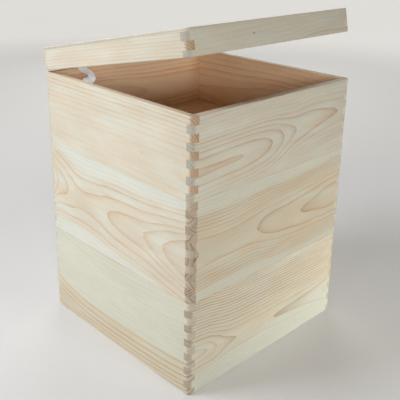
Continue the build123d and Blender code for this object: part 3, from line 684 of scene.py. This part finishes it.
def board_tone_and_painted_light(tree, log, along, textures):
    """How light the wood is: fibres, slow changes of tone, resin flecks and light and shade painted along
    it.
    """
    light = {VALUE: textures["fibre"], FROM: NOISE_LOW, TO: NOISE_HIGH, LOW: 0.955, HIGH: 1.04}
    light = add(tree, "MapRange", light)
    tone = {VALUE: textures["tone"], FROM: NOISE_LOW, TO: NOISE_HIGH, LOW: 0.95, HIGH: 1.04}
    tone = add(tree, "MapRange", tone)
    light = add(tree, "Math", {0: light, 1: tone}, operation="MULTIPLY")
    # Painted light and shade: the board's "light" graph darkens or lightens it along its length, as the
    # light falls on it.
    own = graph(tree, along, log["light"])
    light = add(tree, "Math", {0: light, 1: own}, operation="MULTIPLY")
    fleck = add(tree, "MapRange", {VALUE: textures["fleck"], FROM: 0.7, TO: 0.76, LOW: 1.0, HIGH: 0.86})
    return add(tree, "Math", {0: light, 1: fleck}, operation="MULTIPLY")


def pine(name, board, side, on_lid=False):
    """Planed raw pine: soft matt wood whose growth rings show as tan lines and nested arches, with
    darker end grain at the fingers and a thin line at each glued joint."""
    look = bpy.context.scene.bin_pine
    log = {**PLAIN_BOARD, **BOARDS[board]}
    material, tree, shader = blank(name, IOR=1.5)
    laid, facing = lay_board(tree, side, on_lid)
    places = add(tree, "SeparateXYZ", {0: laid}).node.outputs
    along, height = places[:2]

    # Each board's noise is taken from a place of its own.
    seed = 61.0 * list(BOARDS).index(board) + 17.0 * list(LIE).index(side)
    own = add(tree, "VectorMath", {0: laid, 1: (seed, 2 * seed, 3 * seed)}, operation="ADD")
    textures = noises(tree, own, PINE_NOISES)
    inside = unsanded_and_painted_bounce(tree, facing, side)
    radius = log_radius(tree, log, places, textures)
    late = growth_rings(tree, log, radius, inside)
    band = add(tree, "Math", {0: along, 1: -log["climb"], 2: height}, operation="MULTIPLY_ADD")
    clear = graph(tree, band, log["grain"], "VECTOR")
    late = add(tree, "Math", {0: late, 1: clear}, operation="MULTIPLY")
    fade = add(tree, "MapRange", {VALUE: textures["fade"], FROM: 0.3, TO: 0.7, LOW: 0.65, HIGH: 1.2})
    late = add(tree, "Math", {0: late, 1: fade}, operation="MULTIPLY")

    face = board_face(tree, log, radius, band, late, inside, textures)
    end, ends = end_grain(tree, log, along, facing[LIE[side][0]], late)
    wood = add(tree, "Mix", {SHARE: ends, FIRST: face, SECOND: end}, out=MIXED, **RGB)
    line = joint_lines(tree, along, height)
    line = add(tree, "Math", {0: line, 1: textures["fade"]}, operation="MULTIPLY", use_clamp=True)
    wood = add(tree, "Mix", {SHARE: line, FIRST: wood, SECOND: (*look.glue, 1)}, out=MIXED, **RGB)
    if board in KNOTS:
        *centre, knot_radius, darkness = KNOTS[board]
        away = add(tree, "VectorMath", {0: laid, 1: (*centre, 0.0)}, out="Value", operation="DISTANCE")
        outer, inner = (share * knot_radius for share in KNOT_EDGE)
        knot = {VALUE: away, FROM: outer, TO: inner, HIGH: darkness}
        knot = add(tree, "MapRange", knot)
        wood = add(tree, "Mix", {SHARE: knot, FIRST: wood, SECOND: (*look.knot, 1)}, out=MIXED, **RGB)
    wood = dimmed(tree, wood, board_tone_and_painted_light(tree, log, along, textures))

    # Latewood is harder and smoother, and stands a little proud after planing.
    rough = add(tree, "MapRange", {VALUE: late, LOW: PINE_ROUGHNESS[0], HIGH: PINE_ROUGHNESS[1]})
    relief = add(tree, "Math", {0: late, 1: 0.5, 2: textures["fibre"]}, operation="MULTIPLY_ADD")
    dress(tree, shader, wood, rough, relief, PINE_RELIEF)
    return material


def plywood(name, heights, on_lid=False, tint="FFFFFF"):
    """Thin three-ply board: rotary-cut veneer with broad soft figure, and a darker core at the edge."""
    look = bpy.context.scene.bin_ply
    low, high = heights
    material, tree, shader = blank(name, IOR=1.5)
    spot, facing = place_and_facing(tree, on_lid)
    spot = add(tree, "VectorMath", {0: spot, 1: (1 / MM, 1 / MM, 1 / MM)}, operation="MULTIPLY")
    textures = noises(tree, spot, PLY_NOISES)

    # The figure darkens slowly across each band, and then ends at once.
    xyz = add(tree, "SeparateXYZ", {0: spot}).node.outputs
    across = add(tree, "Math", {0: textures["sway"], 1: PLY_SWING, 2: xyz[1]}, operation="MULTIPLY_ADD")
    ring = add(tree, "Math", {0: across, 1: 1 / PLY_BAND}, operation="MULTIPLY")
    ring = add(tree, "Math", {0: ring}, operation="FRACT")
    late = add(tree, "Math", {0: ring, 1: 4.0}, operation="POWER")
    fall = add(tree, "MapRange", {VALUE: ring, FROM: 0.9, TO: 1.0, LOW: 0.5, HIGH: 0.0})
    late = add(tree, "Math", {0: late, 1: fall}, operation="MULTIPLY")
    face = {SHARE: late, FIRST: (*look.veneer, 1), SECOND: (*look.figure, 1)}
    face = add(tree, "Mix", face, out=MIXED, **RGB)

    # The edge shows end grain, most of all in the middle ply.
    half_ply = (high - low) / 6
    centre = add(tree, "Math", {0: xyz[2], 1: (low + high) / 2}, operation="SUBTRACT")
    centre = add(tree, "Math", {0: centre}, operation="ABSOLUTE")
    core = {VALUE: centre, FROM: half_ply + PLY_LINE, TO: half_ply - PLY_LINE, LOW: 0.6}
    core = add(tree, "MapRange", core)
    level = add(tree, "SeparateXYZ", {0: facing}).node.outputs[2]
    level = add(tree, "Math", {0: level}, operation="ABSOLUTE")
    at_edge = add(tree, "MapRange", {VALUE: level, FROM: 0.8, TO: 0.5})
    core = add(tree, "Math", {0: core, 1: at_edge}, operation="MULTIPLY")
    wood = add(tree, "Mix", {SHARE: core, FIRST: face, SECOND: (*look.core, 1)}, out=MIXED, **RGB)

    # The tint paints warm shade onto the panel; only the shelf, inside the bin, has one.
    painted_warm_shade = {SHARE: 1.0, FIRST: wood, SECOND: (*linear(tint), 1)}
    wood = add(tree, "Mix", painted_warm_shade, out=MIXED, blend_type="MULTIPLY", **RGB)
    light = {VALUE: textures["fibre"], FROM: NOISE_LOW, TO: NOISE_HIGH, LOW: 0.95, HIGH: 1.04}
    light = add(tree, "MapRange", light)
    tone = {VALUE: textures["tone"], FROM: NOISE_LOW, TO: NOISE_HIGH, LOW: 0.94, HIGH: 1.04}
    tone = add(tree, "MapRange", tone)
    light = add(tree, "Math", {0: light, 1: tone}, operation="MULTIPLY")
    rough = {VALUE: textures["fibre"], LOW: PLY_ROUGHNESS[0], HIGH: PLY_ROUGHNESS[1]}
    rough = add(tree, "MapRange", rough)
    dress(tree, shader, dimmed(tree, wood, light), rough, textures["fibre"], PLY_RELIEF)
    return material


def plated_steel(name, plating, roughness, marks):
    """Pressed steel with a thin bright plating: a metal that mirrors softly, with fine marks of the
    rolling or stamping and a few duller patches."""
    material, tree, shader = blank(name, Metallic=1.0)
    spot = add(tree, "TexCoord", out="Object")
    fine = add(tree, "VectorMath", {0: spot, 1: [1 / (MM * s) for s in marks]}, operation="MULTIPLY")
    lines = add(tree, "TexNoise", {"Vector": fine, "Scale": 1.0, "Detail": 2.0})
    patches = add(tree, "TexNoise", {"Vector": spot, "Scale": STEEL_PATCHES, "Detail": 3.0})
    shade = add(tree, "MapRange", {VALUE: patches, FROM: 0.3, TO: 0.7, LOW: 0.86, HIGH: 1.04})
    rough = {VALUE: patches, FROM: 0.3, TO: 0.7, LOW: roughness - 0.06, HIGH: roughness + 0.08}
    rough = add(tree, "MapRange", rough)
    dress(tree, shader, dimmed(tree, (*plating, 1), shade), rough, lines, STEEL_RELIEF)
    return material


def satin(name):
    """Bleached satin ribbon: smooth threads along its length that shine softly across, with a plain
    woven edge on each side."""
    look = bpy.context.scene.bin_ribbon
    material, tree, shader = blank(name, IOR=1.45, Sheen_Weight=0.5, Sheen_Roughness=0.4)
    uv = add(tree, "TexCoord", out="UV")
    width, length = (side / MM for side in RIBBON_FLAT)
    counts = (width / SATIN_THREAD, length / SATIN_STREAK, 1.0)
    stretched = add(tree, "VectorMath", {0: uv, 1: counts}, operation="MULTIPLY")
    threads = add(tree, "TexNoise", {"Vector": stretched, "Scale": 1.0, "Detail": 2.0})
    across = add(tree, "SeparateXYZ", {0: uv}).node.outputs[0]
    middle = add(tree, "Math", {0: across, 1: 0.5}, operation="SUBTRACT")
    middle = add(tree, "Math", {0: middle}, operation="ABSOLUTE")
    selvedge = add(tree, "MapRange", {VALUE: middle, FROM: SELVEDGE[0], TO: SELVEDGE[1]})
    shade = {VALUE: threads, FROM: NOISE_LOW, TO: NOISE_HIGH, LOW: 0.95, HIGH: 1.0}
    shade = add(tree, "MapRange", shade)
    edge = add(tree, "MapRange", {VALUE: selvedge, LOW: 1.0, HIGH: 0.93})
    shade = add(tree, "Math", {0: shade, 1: edge}, operation="MULTIPLY")
    rough = {VALUE: selvedge, LOW: SATIN_ROUGHNESS[0], HIGH: SATIN_ROUGHNESS[1]}
    rough = add(tree, "MapRange", rough)
    dress(tree, shader, dimmed(tree, (*look.satin, 1), shade), rough, threads, SATIN_RELIEF)
    return material


# ---------------------------------------------------------------------------------------------- stage
def only_seen(tree):
    """1 for what the camera or a mirroring surface sees, and 0 for the light that falls on the bin."""
    rays = add(tree, "LightPath").node.outputs
    return add(tree, "Math", {0: rays["Is Camera Ray"], 1: rays["Is Glossy Ray"]}, operation="MAXIMUM")


def lay_floor(look):
    """A plain matt floor, which stays as pale far from the lamps as it is near them where it is seen."""
    bpy.ops.object.select_all(action="DESELECT")
    bpy.ops.mesh.primitive_circle_add(vertices=64, radius=FLOOR_RADIUS, fill_type="NGON")
    floor = bpy.context.object
    floor.name = "floor"
    material, tree, shader = blank("matt floor paint", Roughness=0.85)
    spot = add(tree, "TexCoord", out="Object")
    mottle = add(tree, "TexNoise", {"Vector": spot, "Scale": 3.0, "Detail": 3.0})
    mottle = add(tree, "MapRange", {VALUE: mottle, LOW: 0.985, HIGH: 1.015})
    paint = dimmed(tree, (*look.floor, 1), mottle)
    tree.links.new(paint, shader.inputs["Base Color"])
    away = add(tree, "VectorMath", {0: spot}, out="Value", operation="LENGTH")
    away = add(tree, "MapRange", {VALUE: away, FROM: 0.5, TO: 2.6, LOW: 0.2, HIGH: 1.05})
    glow = add(tree, "Math", {0: away, 1: only_seen(tree)}, operation="MULTIPLY")
    tree.links.new(paint, shader.inputs["Emission Color"])
    tree.links.new(glow, shader.inputs["Emission Strength"])
    floor.data.materials.append(material)


def light_room(look):
    """Soft light from all round, from a room that looks pale, and the lamps."""
    world = bpy.data.worlds.new("room")
    bpy.context.scene.world = world
    world.use_nodes = True
    tree = world.node_tree
    room = tree.nodes["Background"]
    room.inputs["Color"].default_value = (*linear(ROOM), 1)
    strength = add(tree, "MapRange", {VALUE: only_seen(tree), LOW: look.world, HIGH: ROOM_SEEN})
    tree.links.new(strength, room.inputs["Strength"])
    for name, (place, aim, size, spread, tint) in LAMPS.items():
        bpy.ops.object.light_add(type="AREA", location=place)
        lamp = bpy.context.object
        lamp.name = f"{name} lamp"
        lamp.data.energy = getattr(look, name)
        lamp.data.color = linear(tint)
        lamp.data.size = size
        lamp.data.spread = math.radians(spread)
        lamp.rotation_euler = (Vector(aim) - Vector(place)).to_track_quat("-Z", "Y").to_euler()


def place_camera(look):
    """The camera, turned by its way round, its height, and its lean."""
    level_x, level_y = -math.sin(look.azimuth), math.cos(look.azimuth)
    flat = math.cos(look.elevation)
    look_at = Vector((level_x * flat, level_y * flat, -math.sin(look.elevation)))
    level = look_at.cross(Vector((0, 0, 1))).normalized()
    above = level.cross(look_at)
    right = level * math.cos(look.roll) + above * math.sin(look.roll)
    up = above * math.cos(look.roll) - level * math.sin(look.roll)
    bpy.ops.object.camera_add()
    camera = bpy.context.object
    camera.name = "camera"
    turned = Matrix((right, up, -look_at)).transposed().to_4x4()
    camera.matrix_world = Matrix.Translation(CAMERA_PLACE) @ turned
    camera.data.sensor_width = SENSOR
    camera.data.lens = look.lens
    camera.data.shift_y = look.drop
    bpy.context.scene.camera = camera


# ------------------------------------------------------------------------------------------ operators
class SetStage(Operator):
    """Lay the floor, and set the lamps, the room light and the camera"""

    bl_idname = "bin.set_stage"
    bl_label = "Set the stage"

    def execute(self, context):
        look = context.scene.bin_stage
        context.scene.view_settings.view_transform = "Standard"
        lay_floor(look)
        light_room(look)
        place_camera(look)
        return {"FINISHED"}


class FinishBoards(Operator):
    """Give the ring boards, the lid's rails and the shelf's ledges their planed pine"""

    bl_idname = "bin.finish_boards"
    bl_label = "Finish the pine boards"

    def execute(self, context):
        for ring in ("bottom", "middle", "top"):
            for side in LIE:
                material = pine(f"planed pine {ring} {side}", f"{ring}_{side}", side)
                wear(f"{ring}_ring_{side}_board", material)
        for side in LIE:
            wear(f"lid_{side}_rail", pine(f"planed pine lid {side}", f"top_{side}", side, on_lid=True))
        for side in ("left", "right"):
            wear(f"shelf_ledge_{side}", pine(f"planed pine ledge {side}", "ledge", side))
        return {"FINISHED"}


class FinishPanels(Operator):
    """Give the lid's panel, the shelf and the base their plywood"""

    bl_idname = "bin.finish_panels"
    bl_label = "Finish the plywood panels"

    def execute(self, context):
        wear("lid_top_panel", plywood("pine plywood lid", LID_PANEL, on_lid=True))
        # The shelf's tint is painted warm shade from inside the bin.
        wear("shelf_panel", plywood("pine plywood shelf", SHELF_PANEL, tint="FFE6D6"))
        wear("base_panel", plywood("pine plywood base", BASE_PANEL))
        return {"FINISHED"}


class FinishMetal(Operator):
    """Give the hinges and screws their zinc and the tacks their nickel"""

    bl_idname = "bin.finish_metal"
    bl_label = "Finish the hinges and tacks"

    def execute(self, context):
        look = context.scene.bin_metal
        zinc = plated_steel("zinc-plated pressed steel", look.zinc, roughness=0.34, marks=ROLLED)
        nickel = plated_steel("nickel-plated steel", look.nickel, roughness=0.22, marks=STAMPED)
        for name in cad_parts:
            if "hinge" in name:
                wear(name, zinc)
            if "tack" in name:
                wear(name, nickel)
        return {"FINISHED"}


def ribbon_lean(height):
    """How much lower the ribbon's rear edge is than its front one, as a slope, by height above the rim."""
    for (top, upper), (bottom, lower) in zip(RIBBON_LEAN, RIBBON_LEAN[1:]):
        if height >= bottom:
            share = min(1.0, (height - bottom) / (top - bottom))
            return lower + (upper - lower) * share * share * (3 - 2 * share)
    return RIBBON_LEAN[-1][1]


def ribbon_centre(share):
    """Distance from the wall and height above the rim of the ribbon's middle line, in metres: a
    smooth curve through the points of RIBBON_LINE."""
    lengths = [0.0]
    for (b0, z0), (b1, z1) in zip(RIBBON_LINE, RIBBON_LINE[1:]):
        lengths.append(lengths[-1] + math.hypot(b1 - b0, z1 - z0))
    target = share * lengths[-1]
    k = max(i for i in range(len(lengths) - 1) if lengths[i] <= target + 1e-9)
    t = (target - lengths[k]) / (lengths[k + 1] - lengths[k])
    p0, p1 = RIBBON_LINE[max(k - 1, 0)], RIBBON_LINE[k]
    p2, p3 = RIBBON_LINE[k + 1], RIBBON_LINE[min(k + 2, len(RIBBON_LINE) - 1)]
    smooth = []
    for a, b, c, d in zip(p0, p1, p2, p3):
        curve = 2 * b + (c - a) * t + (2 * a - 5 * b + 4 * c - d) * t**2 + (3 * b - a - 3 * c + d) * t**3
        smooth.append(0.5 * curve * MM)
    return smooth


class HangRibbon(Operator):
    """Hang the satin stay ribbon between its two tacks"""

    bl_idname = "bin.hang_ribbon"
    bl_label = "Hang the stay ribbon"

    def execute(self, context):
        look = context.scene.bin_ribbon
        bpy.ops.object.select_all(action="DESELECT")
        bpy.ops.mesh.primitive_grid_add(
            x_subdivisions=RIBBON_COLUMNS, y_subdivisions=RIBBON_ROWS, size=1, calc_uvs=True
        )
        ribbon = context.object
        ribbon.name = "satin_stay_ribbon"
        wall = -(HALF_SIDE - WALL) * MM
        for vertex in ribbon.data.vertices:
            side, share = vertex.co.x, 0.5 - vertex.co.y
            off, height = ribbon_centre(share)
            lean = ribbon_lean(height / MM)
            y = side * look.width
            vertex.co = (wall + off, RIBBON_MIDDLE + y, RIM * MM + height - y * lean)
        bpy.ops.object.mode_set(mode="EDIT")
        bpy.ops.mesh.select_all(action="SELECT")
        bpy.ops.mesh.normals_make_consistent(inside=False)
        bpy.ops.object.mode_set(mode="OBJECT")
        for kind, settings in (
            ("SOLIDIFY", {"thickness": look.thickness, "offset": 0.0}),
            ("BEVEL", {"width": 0.0001, "segments": 1, "limit_method": "ANGLE"}),
        ):
            modifier = ribbon.modifiers.new(kind.lower(), kind)
            for name, value in settings.items():
                setattr(modifier, name, value)
            bpy.ops.object.modifier_apply(modifier=modifier.name)
        bpy.ops.object.shade_smooth_by_angle(angle=math.radians(50))
        ribbon.data.materials.append(satin("bleached satin"))
        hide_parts("stay_ribbon")
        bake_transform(ribbon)
        return {"FINISHED"}


class BinPanel(Panel):
    """Lists the steps that dress the storage bin"""

    bl_idname = "VIEW3D_PT_storage_bin"
    bl_label = "Storage bin"
    bl_space_type = "VIEW_3D"
    bl_region_type = "UI"
    bl_category = "Storage bin"

    def draw(self, context):
        for step in STEPS:
            self.layout.operator(step.bl_idname)
        for look in LOOKS:
            group = getattr(context.scene, look)
            box = self.layout.box()
            for name in group.__annotations__:
                box.prop(group, name)


STEPS = (SetStage, FinishBoards, FinishPanels, FinishMetal, HangRibbon)
LOOKS = {
    "bin_pine": PineLook,
    "bin_ply": PlyLook,
    "bin_metal": MetalLook,
    "bin_ribbon": RibbonLook,
    "bin_stage": StageLook,
}


def register():
    for kind in (*LOOKS.values(), *STEPS, BinPanel):
        bpy.utils.register_class(kind)
    for name, kind in LOOKS.items():
        setattr(bpy.types.Scene, name, PointerProperty(type=kind))


def unregister():
    for name in LOOKS:
        delattr(bpy.types.Scene, name)
    for kind in reversed((*LOOKS.values(), *STEPS, BinPanel)):
        bpy.utils.unregister_class(kind)


def main():
    register()
    bpy.ops.bin.set_stage()
    bpy.ops.bin.finish_boards()
    bpy.ops.bin.finish_panels()
    bpy.ops.bin.finish_metal()
    bpy.ops.bin.hang_ribbon()


if __name__ == "__main__":
    main()
